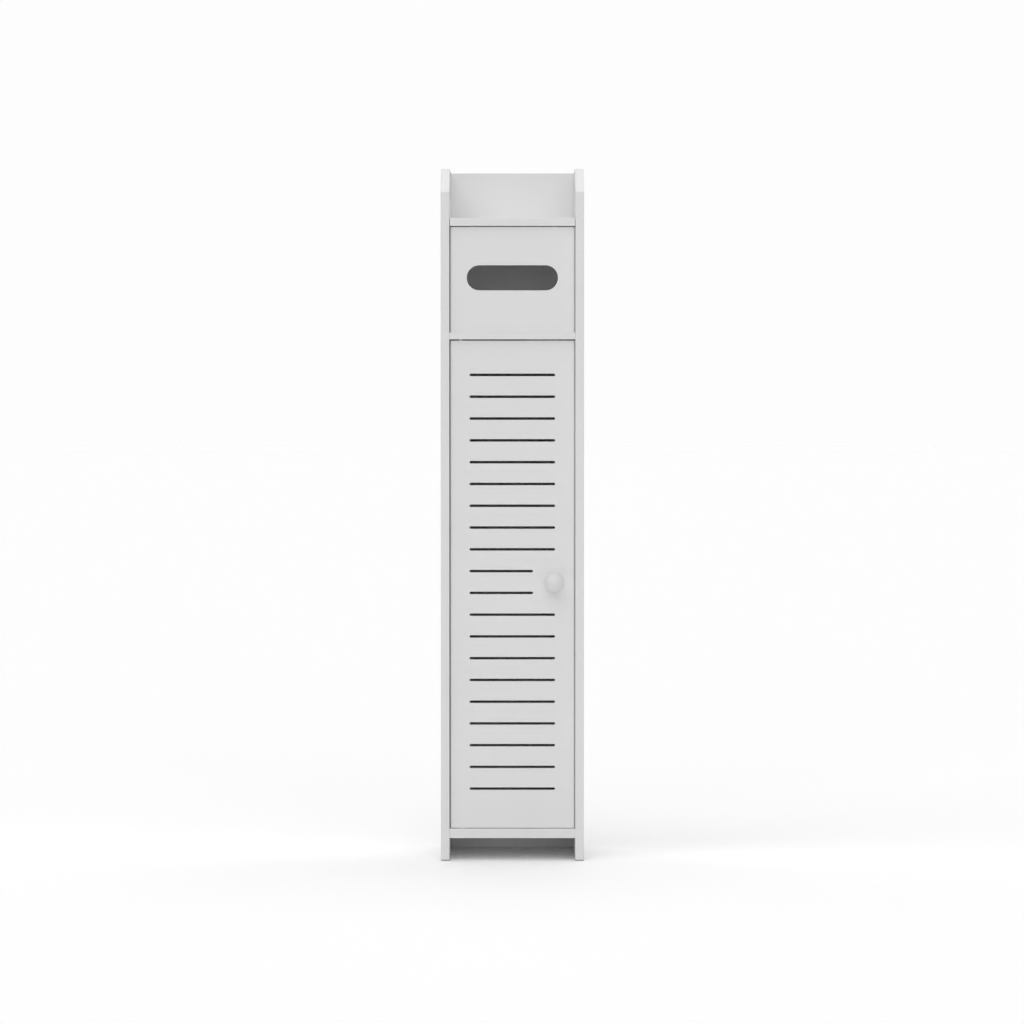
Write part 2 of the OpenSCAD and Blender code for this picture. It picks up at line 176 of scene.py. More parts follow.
class Effect:
    """A pattern that several finishes share: a node group that is built when first placed.

    It takes a Vector and named numbers, one of them the Size of its cells in metres, and puts out
    one number that changes over the surface.
    """

    NAME: ClassVar[str]
    INPUTS: ClassVar[dict[str, float]]
    OUTPUT: ClassVar[str]

    @classmethod
    def draw(
        cls, wiring: Wiring, entry: bpy.types.bpy_prop_collection, scale: bpy.types.NodeSocket
    ) -> bpy.types.NodeSocket:
        """Draws the pattern inside the group.

        Args:
            wiring: adds the nodes.
            entry: the group's inputs, by name.
            scale: the number of cells in a metre.

        Returns:
            The socket that the group puts out.
        """
        raise NotImplementedError

    @classmethod
    def group(cls) -> bpy.types.NodeTree:
        """Builds the node group, or returns the one that was built before."""
        made = bpy.data.node_groups.get(cls.NAME)
        if made is None:
            made = bpy.data.node_groups.new(cls.NAME, "ShaderNodeTree")
            made.interface.new_socket("Vector", in_out="INPUT", socket_type="NodeSocketVector")
            for name, value in cls.INPUTS.items():
                made.interface.new_socket(
                    name, in_out="INPUT", socket_type="NodeSocketFloat"
                ).default_value = value
            made.interface.new_socket(cls.OUTPUT, in_out="OUTPUT", socket_type="NodeSocketFloat")
            entry = made.nodes.new("NodeGroupInput").outputs
            way_out = made.nodes.new("NodeGroupOutput")
            wiring = Wiring(made)
            scale = wiring.math("DIVIDE", 1.0, entry["Size"])
            made.links.new(cls.draw(wiring, entry, scale), way_out.inputs[cls.OUTPUT])
        return made

    @classmethod
    def place(
        cls, wiring: Wiring, vector: bpy.types.NodeSocket, **values: float
    ) -> bpy.types.NodeSocket:
        """Places the group in a material.

        Args:
            wiring: the material's wiring.
            vector: where the pattern is read.
            values: the group's numbers, by the names of its inputs.

        Returns:
            The group's output.
        """
        inputs = {"Vector": vector, **values}
        return wiring.node("Group", inputs, node_tree=cls.group()).outputs[0]


class Cloud(Effect):
    """A slow, uneven drift between two values, such as sprayed lacquer has."""

    NAME = "cloud"
    INPUTS = {"Size": 0.05, "Low": 0.0, "High": 1.0}
    OUTPUT = "Value"
    DETAIL: ClassVar[float] = 2.0
    USUAL_RANGE: ClassVar[tuple[float, float]] = (0.3, 0.7)  # of the noise, before it is stretched

    @classmethod
    def draw(
        cls, wiring: Wiring, entry: bpy.types.bpy_prop_collection, scale: bpy.types.NodeSocket
    ) -> bpy.types.NodeSocket:
        """Draws soft noise, stretched to its full range."""
        noise = wiring.node(
            "TexNoise", {"Vector": entry["Vector"], "Scale": scale, "Detail": cls.DETAIL}
        )
        return wiring.ramp(noise.outputs[0], *cls.USUAL_RANGE, entry["Low"], entry["High"])


class OrangePeel(Effect):
    """The fine, rounded ripple of a sprayed or moulded surface."""

    NAME = "orange_peel"
    INPUTS = {"Size": 0.002, "Roundness": 0.5}
    OUTPUT = "Height"
    DETAIL: ClassVar[float] = 1.0
    SMOOTHNESS: ClassVar[float] = 0.8

    @classmethod
    def draw(
        cls, wiring: Wiring, entry: bpy.types.bpy_prop_collection, scale: bpy.types.NodeSocket
    ) -> bpy.types.NodeSocket:
        """Draws round cells under a finer noise."""
        where = {"Vector": entry["Vector"], "Scale": scale}
        cells = wiring.node(
            "TexVoronoi", {**where, "Smoothness": cls.SMOOTHNESS}, feature="SMOOTH_F1"
        )
        noise = wiring.node("TexNoise", {**where, "Detail": cls.DETAIL})
        round_part = wiring.math("MULTIPLY", cells.outputs["Distance"], entry["Roundness"])
        return wiring.math("ADD", round_part, noise.outputs[0])


class DrawnLines(Effect):
    """Fine lines along one direction, such as drawn steel, wood and a board's cut edge have.

    Its Vector is squeezed along the lines before it gets here.
    """

    NAME = "drawn_lines"
    INPUTS = {"Size": 0.0003, "Contrast": 1.0}
    OUTPUT = "Height"
    DETAIL: ClassVar[float] = 3.0

    @classmethod
    def draw(
        cls, wiring: Wiring, entry: bpy.types.bpy_prop_collection, scale: bpy.types.NodeSocket
    ) -> bpy.types.NodeSocket:
        """Draws noise with a little detail, and raises its contrast."""
        noise = wiring.node(
            "TexNoise", {"Vector": entry["Vector"], "Scale": scale, "Detail": cls.DETAIL}
        )
        return wiring.math("MULTIPLY", noise.outputs[0], entry["Contrast"])


class Speckle(Effect):
    """Small round dots, such as foam cells, mineral grains and the flecks of beech."""

    NAME = "speckle"
    INPUTS = {"Size": 0.0005, "Share": 0.4}
    OUTPUT = "Mask"
    RIM: ClassVar[float] = 0.2  # over which a dot fades, in cells

    @classmethod
    def draw(
        cls, wiring: Wiring, entry: bpy.types.bpy_prop_collection, scale: bpy.types.NodeSocket
    ) -> bpy.types.NodeSocket:
        """Draws a dot in the middle of each cell."""
        cells = wiring.node("TexVoronoi", {"Vector": entry["Vector"], "Scale": scale})
        rim = wiring.math("ADD", entry["Share"], cls.RIM)
        return wiring.ramp(cells.outputs["Distance"], entry["Share"], rim, 1.0, 0.0)


# ---------------------------------------------------------------- finishes


@dataclass(frozen=True)
class Finish:
    """What all finishes have in common.

    A subclass draws how colour, roughness and height change over the surface, and names the
    constants of its shader.
    """

    slot: Slot
    colour: Colour
    roughness: float

    def name(self) -> str:
        """The material's name."""
        return f"{self.slot.value}_finish"

    def constants(self) -> dict[str, float]:
        """Inputs of the shader that are the same all over the surface."""
        return {}

    def draw(self, wiring: Wiring, place: bpy.types.NodeSocket) -> dict[str, bpy.types.NodeSocket]:
        """Draws what changes over the surface.

        Args:
            wiring: the material's wiring.
            place: the object coordinates.

        Returns:
            Sockets for the shader's inputs, by their names.
        """
        raise NotImplementedError

    def squeezed(
        self, wiring: Wiring, place: bpy.types.NodeSocket, along: Vector, share: float
    ) -> bpy.types.NodeSocket:
        """Squeezes the coordinates along one direction, so that a noise read there is drawn out.

        Args:
            wiring: the material's wiring.
            place: the object coordinates.
            along: the direction of the lines.
            share: what is left of a length along them.

        Returns:
            The squeezed coordinates.
        """
        factors = [1.0 + (share - 1.0) * abs(part) for part in along]
        return wiring.node("VectorMath", {0: place, 1: factors}, operation="MULTIPLY").outputs[0]

    def sheen(
        self, wiring: Wiring, place: bpy.types.NodeSocket, size: float, less: float, more: float
    ) -> bpy.types.NodeSocket:
        """Lets the roughness drift in clouds of a size, by so much less and so much more."""
        return Cloud.place(
            wiring, place, Size=size, Low=self.roughness - less, High=self.roughness + more
        )

    def bump(self, wiring: Wiring, height: object, depth: float) -> bpy.types.NodeSocket:
        """Turns a height from 0 to 1 into a normal, with its depth in metres."""
        return wiring.node("Bump", {"Height": height, "Distance": depth}).outputs["Normal"]

    def material(self) -> bpy.types.Material:
        """Builds the material, or returns the one that was built before."""
        made = bpy.data.materials.get(self.name())
        if made is None:
            made = bpy.data.materials.new(self.name())
            wiring = Wiring.fresh(made)
            place = wiring.node("TexCoord", {}).outputs["Object"]
            inputs = {"Base Color": self.colour, "Roughness": self.roughness, **self.constants()}
            inputs.update(self.draw(wiring, place))
            shader = wiring.node("BsdfPrincipled", inputs)
            wiring.node("OutputMaterial", {"Surface": shader.outputs[0]})
            made.diffuse_color = self.colour
        return made


@dataclass(frozen=True)
class Lacquer(Finish):
    """White satin lacquer, sprayed on fibreboard.

    The broad faces have a fine orange peel. On the cut edges the board's layers telegraph
    through and the lacquer is duller.
    """

    thin: Axis = Axis.Z
    shade: float = 0.975
    cloud_size: float = 0.11
    sheen_share: float = 1 / 3  # of the cloud's size
    sheen_drift: float = 0.04
    peel_size: float = 2.4 * MM
    peel_depth: float = 0.008 * MM
    peel_roundness: float = 0.6
    layer_size: float = 0.5 * MM
    layer_squeeze: float = 0.05
    layer_weight: float = 1.6
    edge_dullness: float = 0.12

    def name(self) -> str:
        """The material's name, which also tells the board's thin direction."""
        return f"{self.slot.value}_finish_{self.thin.name.lower()}"

    def draw(self, wiring: Wiring, place: bpy.types.NodeSocket) -> dict[str, bpy.types.NodeSocket]:
        """Draws the peel, the edges' layers, and a slight drift of tone and sheen."""
        edge = wiring.node("Attribute", {}, attribute_name=CUT_EDGE).outputs["Fac"]
        drift = Cloud.place(wiring, place, Size=self.cloud_size, Low=0.0, High=1.0)
        sheen = self.sheen(
            wiring, place, self.cloud_size * self.sheen_share, self.sheen_drift, self.sheen_drift
        )
        dullness = wiring.math("MULTIPLY", edge, self.edge_dullness)
        peel = OrangePeel.place(wiring, place, Size=self.peel_size, Roundness=self.peel_roundness)
        along = self.squeezed(
            wiring, place, Vector((1, 1, 1)) - self.thin.value, self.layer_squeeze
        )
        layers = DrawnLines.place(
            wiring, along, Size=self.layer_size, Contrast=self.layer_weight
        )
        height = wiring.math("ADD", peel, wiring.math("MULTIPLY", layers, edge))
        return {
            "Base Color": wiring.blend(drift, self.colour, shaded(self.colour, self.shade)),
            "Roughness": wiring.math("ADD", sheen, dullness),
            "Normal": self.bump(wiring, height, self.peel_depth),
        }


@dataclass(frozen=True)
class MouldedPlastic(Finish):
    """Moulded plastic, with a slight ripple and a drift of sheen."""

    shade: float = 0.97
    cloud_size: float = 12 * MM
    sheen_size: float = 7 * MM
    sheen_less: float = 0.03
    sheen_more: float = 0.05
    ripple_size: float = 1.5 * MM
    ripple_depth: float = 0.004 * MM
    ripple_roundness: float = 0.3

    def draw(self, wiring: Wiring, place: bpy.types.NodeSocket) -> dict[str, bpy.types.NodeSocket]:
        """Draws the ripple, a sheen that drifts and a tone that hardly does."""
        drift = Cloud.place(wiring, place, Size=self.cloud_size, Low=0.0, High=1.0)
        ripple = OrangePeel.place(
            wiring, place, Size=self.ripple_size, Roundness=self.ripple_roundness
        )
        return {
            "Base Color": wiring.blend(drift, self.colour, shaded(self.colour, self.shade)),
            "Roughness": self.sheen(
                wiring, place, self.sheen_size, self.sheen_less, self.sheen_more
            ),
            "Normal": self.bump(wiring, ripple, self.ripple_depth),
        }


@dataclass(frozen=True)
class Translucent(MouldedPlastic):
    """A plastic or rubber that lets some light through."""

    clearness: float = 0.2
    ior: float = 1.5

    def constants(self) -> dict[str, float]:
        """The share of light that goes through, and how far it is bent."""
        return {"Transmission Weight": self.clearness, "IOR": self.ior}


@dataclass(frozen=True)
class ZincSteel(Finish):
    """Drawn or stamped steel with a thin, faintly coloured coat of zinc."""

    tint: Colour = (0.60, 0.60, 0.55, 1.0)
    tint_size: float = 5 * MM
    sheen_size: float = 2 * MM
    sheen_less: float = 0.08
    sheen_more: float = 0.1
    line_size: float = 0.25 * MM
    line_squeeze: float = 0.06
    line_depth: float = 0.004 * MM

    def constants(self) -> dict[str, float]:
        """The coat is metal all over."""
        return {"Metallic": 1.0}

    def draw(self, wiring: Wiring, place: bpy.types.NodeSocket) -> dict[str, bpy.types.NodeSocket]:
        """Draws the lines of the drawing die, and clouds of tint and roughness."""
        tinted = Cloud.place(wiring, place, Size=self.tint_size, Low=0.0, High=1.0)
        along = self.squeezed(wiring, place, Axis.Z.value, self.line_squeeze)
        lines = DrawnLines.place(wiring, along, Size=self.line_size, Contrast=1.0)
        return {
            "Base Color": wiring.blend(tinted, self.colour, self.tint),
            "Roughness": self.sheen(
                wiring, place, self.sheen_size, self.sheen_less, self.sheen_more
            ),
            "Normal": self.bump(wiring, lines, self.line_depth),
        }


@dataclass(frozen=True)
class Grained(Finish):
    """A dull material with grains or cells of another tone, such as ferrite or foam rubber."""

    grain_colour: Colour = grey(0.2)
    grain_size: float = 0.4 * MM
    grain_share: float = 0.3
    grain_depth: float = 0.02 * MM
    sheen_size: float = 3 * MM
    sheen_drift: float = 0.05

    def draw(self, wiring: Wiring, place: bpy.types.NodeSocket) -> dict[str, bpy.types.NodeSocket]:
        """Draws the grains in colour and in height."""
        grains = Speckle.place(wiring, place, Size=self.grain_size, Share=self.grain_share)
        return {
            "Base Color": wiring.blend(grains, self.colour, self.grain_colour),
            "Roughness": self.sheen(
                wiring, place, self.sheen_size, self.sheen_drift, self.sheen_drift
            ),
            "Normal": self.bump(wiring, grains, self.grain_depth),
        }


@dataclass(frozen=True)
class Beech(Finish):
    """Raw beech: fine pores along the grain and short, darker flecks."""

    dark: Colour = (0.46, 0.29, 0.15, 1.0)
    along: Axis = Axis.X
    grain_size: float = 0.7 * MM
    grain_squeeze: float = 0.08
    grain_depth: float = 0.03 * MM
    grain_weight: float = 0.7
    tone_range: tuple[float, float] = (0.35, 0.75)  # of the grain's noise, from light to dark
    fleck_size: float = 0.6 * MM
    fleck_squeeze: float = 0.3
    fleck_share: float = 0.2
    sheen_range: tuple[float, float] = (0.3, 0.7)  # of the grain's noise, from glossy to dull
    sheen_less: float = 0.05
    sheen_more: float = 0.1

    def name(self) -> str:
        """The material's name, which also tells the direction of the grain."""
        return f"{self.slot.value}_finish_{self.along.name.lower()}"

    def draw(self, wiring: Wiring, place: bpy.types.NodeSocket) -> dict[str, bpy.types.NodeSocket]:
        """Draws the grain, the flecks and the open pores."""
        grain_place = self.squeezed(wiring, place, self.along.value, self.grain_squeeze)
        grain = DrawnLines.place(wiring, grain_place, Size=self.grain_size, Contrast=1.0)
        fleck_place = self.squeezed(wiring, place, self.along.value, self.fleck_squeeze)
        flecks = Speckle.place(wiring, fleck_place, Size=self.fleck_size, Share=self.fleck_share)
        stripes = wiring.ramp(grain, *self.tone_range, 0.0, self.grain_weight)
        rough = (self.roughness - self.sheen_less, self.roughness + self.sheen_more)
        return {
            "Base Color": wiring.blend(
                wiring.math("MAXIMUM", stripes, flecks), self.colour, self.dark
            ),
            "Roughness": wiring.ramp(grain, *self.sheen_range, *rough),
            "Normal": self.bump(wiring, grain, self.grain_depth),
        }


class Palette:
    """The finishes of this cabinet."""

    WHITE: ClassVar[Colour] = grey(0.85)
    WOOD: ClassVar[Colour] = (0.62, 0.45, 0.27, 1.0)
    KNOB = MouldedPlastic(
        Slot.KNOB, grey(0.82), 0.36, ripple_size=2.5 * MM, ripple_depth=0.001 * MM
    )
    CAP = MouldedPlastic(Slot.CAP, grey(0.80), 0.42, ripple_size=0.6 * MM, ripple_depth=0.006 * MM)
    NYLON = Translucent(Slot.NYLON, (0.72, 0.70, 0.64, 1.0), 0.40, clearness=0.15, ior=1.53)
    SILICONE = Translucent(Slot.SILICONE, (0.80, 0.82, 0.83, 1.0), 0.35, clearness=0.5, ior=1.41)
    STEEL = ZincSteel(Slot.STEEL, (0.62, 0.63, 0.65, 1.0), 0.34)
    FERRITE = Grained(Slot.MAGNET, grey(0.05), 0.62, grain_colour=grey(0.09), grain_size=0.25 * MM)
    FOAM = Grained(Slot.PAD, grey(0.46), 0.85, grain_colour=grey(0.34), grain_depth=0.08 * MM)
    BEECH_ACROSS = Beech(Slot.BEECH, WOOD, 0.6, along=Axis.X)
    BEECH_UP = Beech(Slot.BEECH, WOOD, 0.6, along=Axis.Z)

    @classmethod
    def lacquer(cls, thin: Axis) -> Lacquer:
        """The lacquer of a board that is thin along one direction."""
        return Lacquer(Slot.BOARD, cls.WHITE, 0.46, thin=thin)


# ---------------------------------------------------------------- shapes


@dataclass(frozen=True)
class Box:
    """An upright box, given by its lowest and highest corner."""

    low: Vector
    high: Vector

    @property
    def centre(self) -> Vector:
        """The middle of the box."""
        return (self.low + self.high) / 2

    @property
    def size(self) -> Vector:
        """The box's length along each axis."""
        return self.high - self.low

    @classmethod
    def around(cls, points: Iterable[Vector]) -> "Box":
        """The least box round some points."""
        listed = list(points)
        low = Vector([min(p[i] for p in listed) for i in range(3)])
        high = Vector([max(p[i] for p in listed) for i in range(3)])
        return cls(low, high)

    @classmethod
    def of(cls, node: str) -> "Box":
        """The box of a CAD node."""
        return cls(*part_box(node))


def merged_copy(node: str) -> bmesh.types.BMesh:
    """Copies a CAD node's mesh, and joins the triangles that lie in one plane."""
    bm = bmesh.new()
    bm.from_mesh(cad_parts[node].data)
    bmesh.ops.remove_doubles(bm, verts=bm.verts, dist=MERGE_DISTANCE)
    bmesh.ops.dissolve_limit(bm, angle_limit=FLAT_ANGLE, verts=bm.verts, edges=bm.edges)
    return bm


def connected(
    start: bmesh.types.BMVert, allowed: set[bmesh.types.BMEdge]
) -> set[bmesh.types.BMEdge]:
    """Collects the edges that can be reached from a vertex over allowed edges only."""
    reached: set[bmesh.types.BMEdge] = set()
    waiting = [start]
    while waiting:
        for edge in waiting.pop().link_edges:
            if edge in allowed and edge not in reached:
                reached.add(edge)
                waiting.extend(edge.verts)
    return reached


def solids_of(node: str) -> list[Box]:
    """The box of each separate solid of a CAD node."""
    bm = merged_copy(node)
    left = set(bm.edges)
    boxes = []
    while left:
        found = connected(next(iter(left)).verts[0], left)
        boxes.append(Box.around(v.co for e in found for v in e.verts))
        left -= found
    bm.free()
    return sorted(boxes, key=lambda box: tuple(box.centre))


def outlines(bm: bmesh.types.BMesh, least: float) -> list[bmesh.types.BMEdge]:
    """The sharp edges of a board's outline and cut-outs.

    Args:
        bm: the board.
        least: edges that join into something smaller than this are left out, because they
            are the rims of holes for fasteners.

    Returns:
        The edges.
    """
    sharp = {e for e in bm.edges if e.is_manifold and e.calc_face_angle() > SHARP_ANGLE}
    chosen: list[bmesh.types.BMEdge] = []
    while sharp:
        found = connected(next(iter(sharp)).verts[0], sharp)
        if max(Box.around(v.co for e in found for v in e.verts).size) > least:
            chosen.extend(found)
        sharp -= found
    return chosen


def rounded(
    bm: bmesh.types.BMesh, edges: list[bmesh.types.BMEdge], width: float, segments: int
) -> None:
    """Rounds edges of a mesh.

    Args:
        bm: the mesh, which is changed.
        edges: the edges.
        width: how far the rounding reaches from the edge.
        segments: faces across the rounding.
    """
    bmesh.ops.bevel(
        bm, geom=edges, offset=width, offset_type="OFFSET", segments=segments,
        profile=0.5, affect="EDGES", clamp_overlap=False, material=-1,
    )


def ease(
    bm: bmesh.types.BMesh, width: float, least: float = FASTENER_RIM, segments: int = 3
) -> None:
    """Rounds the sharp edges of outlines and cut-outs.

    Args:
        bm: the mesh, which is changed.
        width: how far the rounding reaches from the edge.
        least: rims smaller than this stay crisp.
        segments: faces across the rounding.
    """
    rounded(bm, outlines(bm, least), width, segments)


def arc(
    centre: tuple[float, float], radius: float, start: float, end: float, steps: int
) -> Profile:
    """Points along an arc of a profile, from one angle to another in degrees, both included."""
    turns = [math.radians(start + (end - start) * i / steps) for i in range(steps + 1)]
    return [(centre[0] + radius * math.cos(a), centre[1] + radius * math.sin(a)) for a in turns]


def turned(profile: Profile, at: Vector, axis: Vector, steps: int) -> bmesh.types.BMesh:
    """Turns a profile into a closed round shape.

    Args:
        profile: radius and height of each point, along the outline from axis to axis. An
            outline that starts off the axis is closed from its last point to its first. The
            heights run along the axis.
        at: where height 0 lies on the axis.
        axis: the direction of the heights.
        steps: faces round the axis.

    Returns:
        The shape.
    """
    bm = bmesh.new()
    verts = [bm.verts.new((radius, 0, height)) for radius, height in profile]
    starts_off_axis = profile[0][0] > 0
    ends = verts[1:] + (verts[:1] if starts_off_axis else [])
    edges = [bm.edges.new(pair) for pair in zip(verts, ends)]
    bmesh.ops.spin(
        bm, geom=verts + edges, cent=(0, 0, 0), axis=(0, 0, 1), angle=math.tau, steps=steps,
        use_merge=True,
    )
    bmesh.ops.remove_doubles(bm, verts=bm.verts, dist=MERGE_DISTANCE)
    along_axis = [e for e in bm.edges if not e.link_faces]
    bmesh.ops.delete(bm, geom=along_axis, context="EDGES")
    bmesh.ops.recalc_face_normals(bm, faces=bm.faces)
    turn = Vector((0, 0, 1)).rotation_difference(axis).to_matrix().to_4x4()
    bmesh.ops.transform(bm, matrix=Matrix.Translation(at) @ turn, verts=bm.verts)
    return bm


def mesh_of(name: str, bm: bmesh.types.BMesh) -> bpy.types.Mesh:
    """Turns a shape into a mesh, and frees the shape."""
    mesh = bpy.data.meshes.new(name)
    bm.to_mesh(mesh)
    bm.free()
    return mesh


def joined(parts: Iterable[bmesh.types.BMesh]) -> bmesh.types.BMesh:
    """Puts several shapes into one, and frees them."""
    whole = bmesh.new()
    for part in parts:
        mesh = mesh_of("part", part)
        whole.from_mesh(mesh)
        bpy.data.meshes.remove(mesh)
    return whole


def add_object(name: str, data: bpy.types.ID) -> bpy.types.Object:
    """Adds an object to the scene, and returns it."""
    made = bpy.data.objects.new(name, data)
    bpy.context.scene.collection.objects.link(made)
    return made


def make_piece(
    name: str, bm: bmesh.types.BMesh, body: Body, finish: Finish, *nodes: str
) -> bpy.types.Object:
    """Makes a piece of the cabinet from a shape, and frees the shape.

    Args:
        name: the piece's name.
        bm: its shape, in the frame.
        body: the body it rides on.
        finish: its finish.
        nodes: the CAD nodes that it stands for.

    Returns:
        The piece.
    """
    for face in bm.faces:
        face.smooth = True
    for edge in bm.edges:
        edge.smooth = edge.calc_face_angle(0) < SHARP_ANGLE
    mesh = mesh_of(name, bm)
    mesh.materials.append(finish.material())
    piece = add_object(name, mesh)
    even = piece.modifiers.new("even_light", "WEIGHTED_NORMAL")
    even.keep_sharp = True
    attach(piece, body.value)
    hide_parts(*nodes)
    LOG.info("%s: %d faces, on %s", name, len(mesh.polygons), body.value)
    return piece


def refinish(finish: Finish, *nodes: str) -> None:
    """Gives CAD nodes, whose shapes stay, a better finish."""
    for node in nodes:
        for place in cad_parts[node].material_slots:
            place.link = "OBJECT"
            place.material = finish.material()
        LOG.info("%s: kept, with %s", node, finish.name())


# ---------------------------------------------------------------- sub-assemblies


@dataclass(frozen=True)
class Board:
    """One lacquered board, with its outline and its cut-outs eased by sandpaper."""

    node: str
    name: str
    thin: Axis
    body: Body = Body.CARCASS
    ease_width: float = 0.6 * MM

    def build(self) -> bpy.types.Object:
        """Builds the board from the frame's own, and marks its cut edges for the lacquer."""
        bm = merged_copy(self.node)
        ease(bm, self.ease_width)
        bm.normal_update()
        cut_edge = bm.faces.layers.float.new(CUT_EDGE)
        for face in bm.faces:
            face[cut_edge] = float(abs(face.normal.dot(self.thin.value)) < CUT_EDGE_TILT)
        return make_piece(self.name, bm, self.body, Palette.lacquer(self.thin), self.node)


@dataclass
class Carcass:
    """The two sides, the back, the shelves and the fixed tissue front."""

    boards: list[Board] = field(default_factory=lambda: [
        Board("left_side", "left_side_board", Axis.X, ease_width=0.7 * MM),
        Board("right_side", "right_side_board", Axis.X, ease_width=0.7 * MM),
        Board("back_panel", "back_board", Axis.Y),
        Board("bottom_shelf", "bottom_shelf_board", Axis.Z, ease_width=0.3 * MM),
        Board("middle_shelf", "middle_shelf_board", Axis.Z, ease_width=0.3 * MM),
        Board("tissue_front", "tissue_front_board", Axis.Y, ease_width=0.25 * MM),
    ])

    def build(self) -> None:
        """Builds the boards."""
        for board in self.boards:
            board.build()


@dataclass
class Lid:
    """The lift-up floor of the tray."""

    board: Board = Board("tray_lid", "tray_lid_board", Axis.Z, Body.LID, ease_width=0.35 * MM)

    def build(self) -> None:
        """Builds the board and dresses its pins."""
        self.board.build()
        refinish(Palette.STEEL, "left_lid_pin", "right_lid_pin")


@dataclass
class Knob:
    """The door's domed knob: a foot, a waisted neck and a mushroom head over a round rim."""

    foot_radius: float = 7.5 * MM
    foot_length: float = 2.5 * MM
    foot_round: float = 1.0 * MM
    foot_edge: float = 0.3 * MM
    neck_radius: float = 5.0 * MM
    neck_fillet: float = 1.5 * MM
    flare_radius: float = 6.0 * MM
    flare_end: float = 110  # degrees
    rim_radius: float = 2.6 * MM
    rim_from_tip: float = 6.8 * MM
    rim_start: float = -78  # degrees
    bore_radius: float = 2.02 * MM
    bore_length: float = 11 * MM
    steps: int = 72  # round the axis

    def profile(self, radius: float, length: float) -> Profile:
        """The half section, from the bore's mouth over the head to the bottom of the bore.

        Args:
            radius: of the head.
            length: out of the door.

        Returns:
            Radius and height of each point.
        """
        rim = (radius - self.rim_radius, length - self.rim_from_tip)
        # The dome touches the rim's circle without a crease
        rest = length - self.rim_radius
        dome_centre = (rest**2 - rim[0] ** 2 - rim[1] ** 2) / (2 * (rest - rim[1]))
        meet = math.degrees(math.atan2(rim[1] - dome_centre, rim[0]))
        foot = (self.foot_radius - self.foot_round, self.foot_length - self.foot_round)
        fillet = (foot[0], self.foot_length + self.neck_fillet)
        flare = (self.neck_radius + self.flare_radius, fillet[1] + self.foot_round)
        return [
            (self.bore_radius, 0.0),
            *arc((self.foot_radius - self.foot_edge, self.foot_edge), self.foot_edge, -90, 0, 3),
            *arc(foot, self.foot_round, 0, 90, 5),
            *arc(fillet, self.neck_fillet, 270, 180, 5)[1:],
            *arc(flare, self.flare_radius, 180, self.flare_end, 8),
            *arc(rim, self.rim_radius, self.rim_start, meet, 12),
            *arc((0.0, dome_centre), length - dome_centre, meet, 90, 14)[1:],
            (0.0, self.bore_length),
            (self.bore_radius, self.bore_length),
        ]

    def build(self) -> None:
        """Turns the knob where the frame has it, and dresses its screw."""
        box = Box.of("knob")
        at = Vector((box.centre.x, box.high.y, box.centre.z))
        outline = self.profile(box.size.x / 2, box.size.y)
        shape = turned(outline, at, -Axis.Y.value, self.steps)
        make_piece("domed_knob", shape, Body.DOOR, Palette.KNOB, "knob")
        refinish(Palette.STEEL, "knob_screw")


@dataclass
class Door:
    """The louvred door with its knob, pins and strike plate."""

    board: Board = Board("door_panel", "louvred_door", Axis.Y, Body.DOOR, ease_width=0.25 * MM)
    knob: Knob = field(default_factory=Knob)
    plate_ease: float = 0.2 * MM

    def build(self) -> None:
        """Builds the door, its knob and its strike plate, and dresses its pins."""
        self.board.build()
        self.knob.build()
        plate = merged_copy("strike_plate")
        ease(plate, self.plate_ease, segments=2)
        make_piece("strike_plate_stamped", plate, Body.DOOR, Palette.STEEL, "strike_plate")
        refinish(Palette.STEEL, "strike_screw", "upper_door_pin", "lower_door_pin")


@dataclass
class Catch:
    """The magnetic catch under the middle shelf."""

    housing_ease: float = 0.5 * MM
    housing_rim: float = 12 * MM  # smaller rims stay crisp
    metal_ease: float = 0.15 * MM

    def build(self) -> None:
        """Rounds the housing, the magnet and the poles, and dresses the screws."""
        housing = merged_copy("catch_housing")
        ease(housing, self.housing_ease, self.housing_rim)
        make_piece("catch_case", housing, Body.CARCASS, Palette.CAP, "catch_housing")
        magnet = merged_copy("catch_magnet")
        ease(magnet, self.metal_ease, 0.0, segments=1)
        make_piece("catch_ferrite", magnet, Body.CARCASS, Palette.FERRITE, "catch_magnet")
        poles = merged_copy("catch_poles")
        ease(poles, self.metal_ease, 0.0, segments=2)
        make_piece("catch_pole_plates", poles, Body.CARCASS, Palette.STEEL, "catch_poles")
        refinish(Palette.STEEL, "catch_screws")


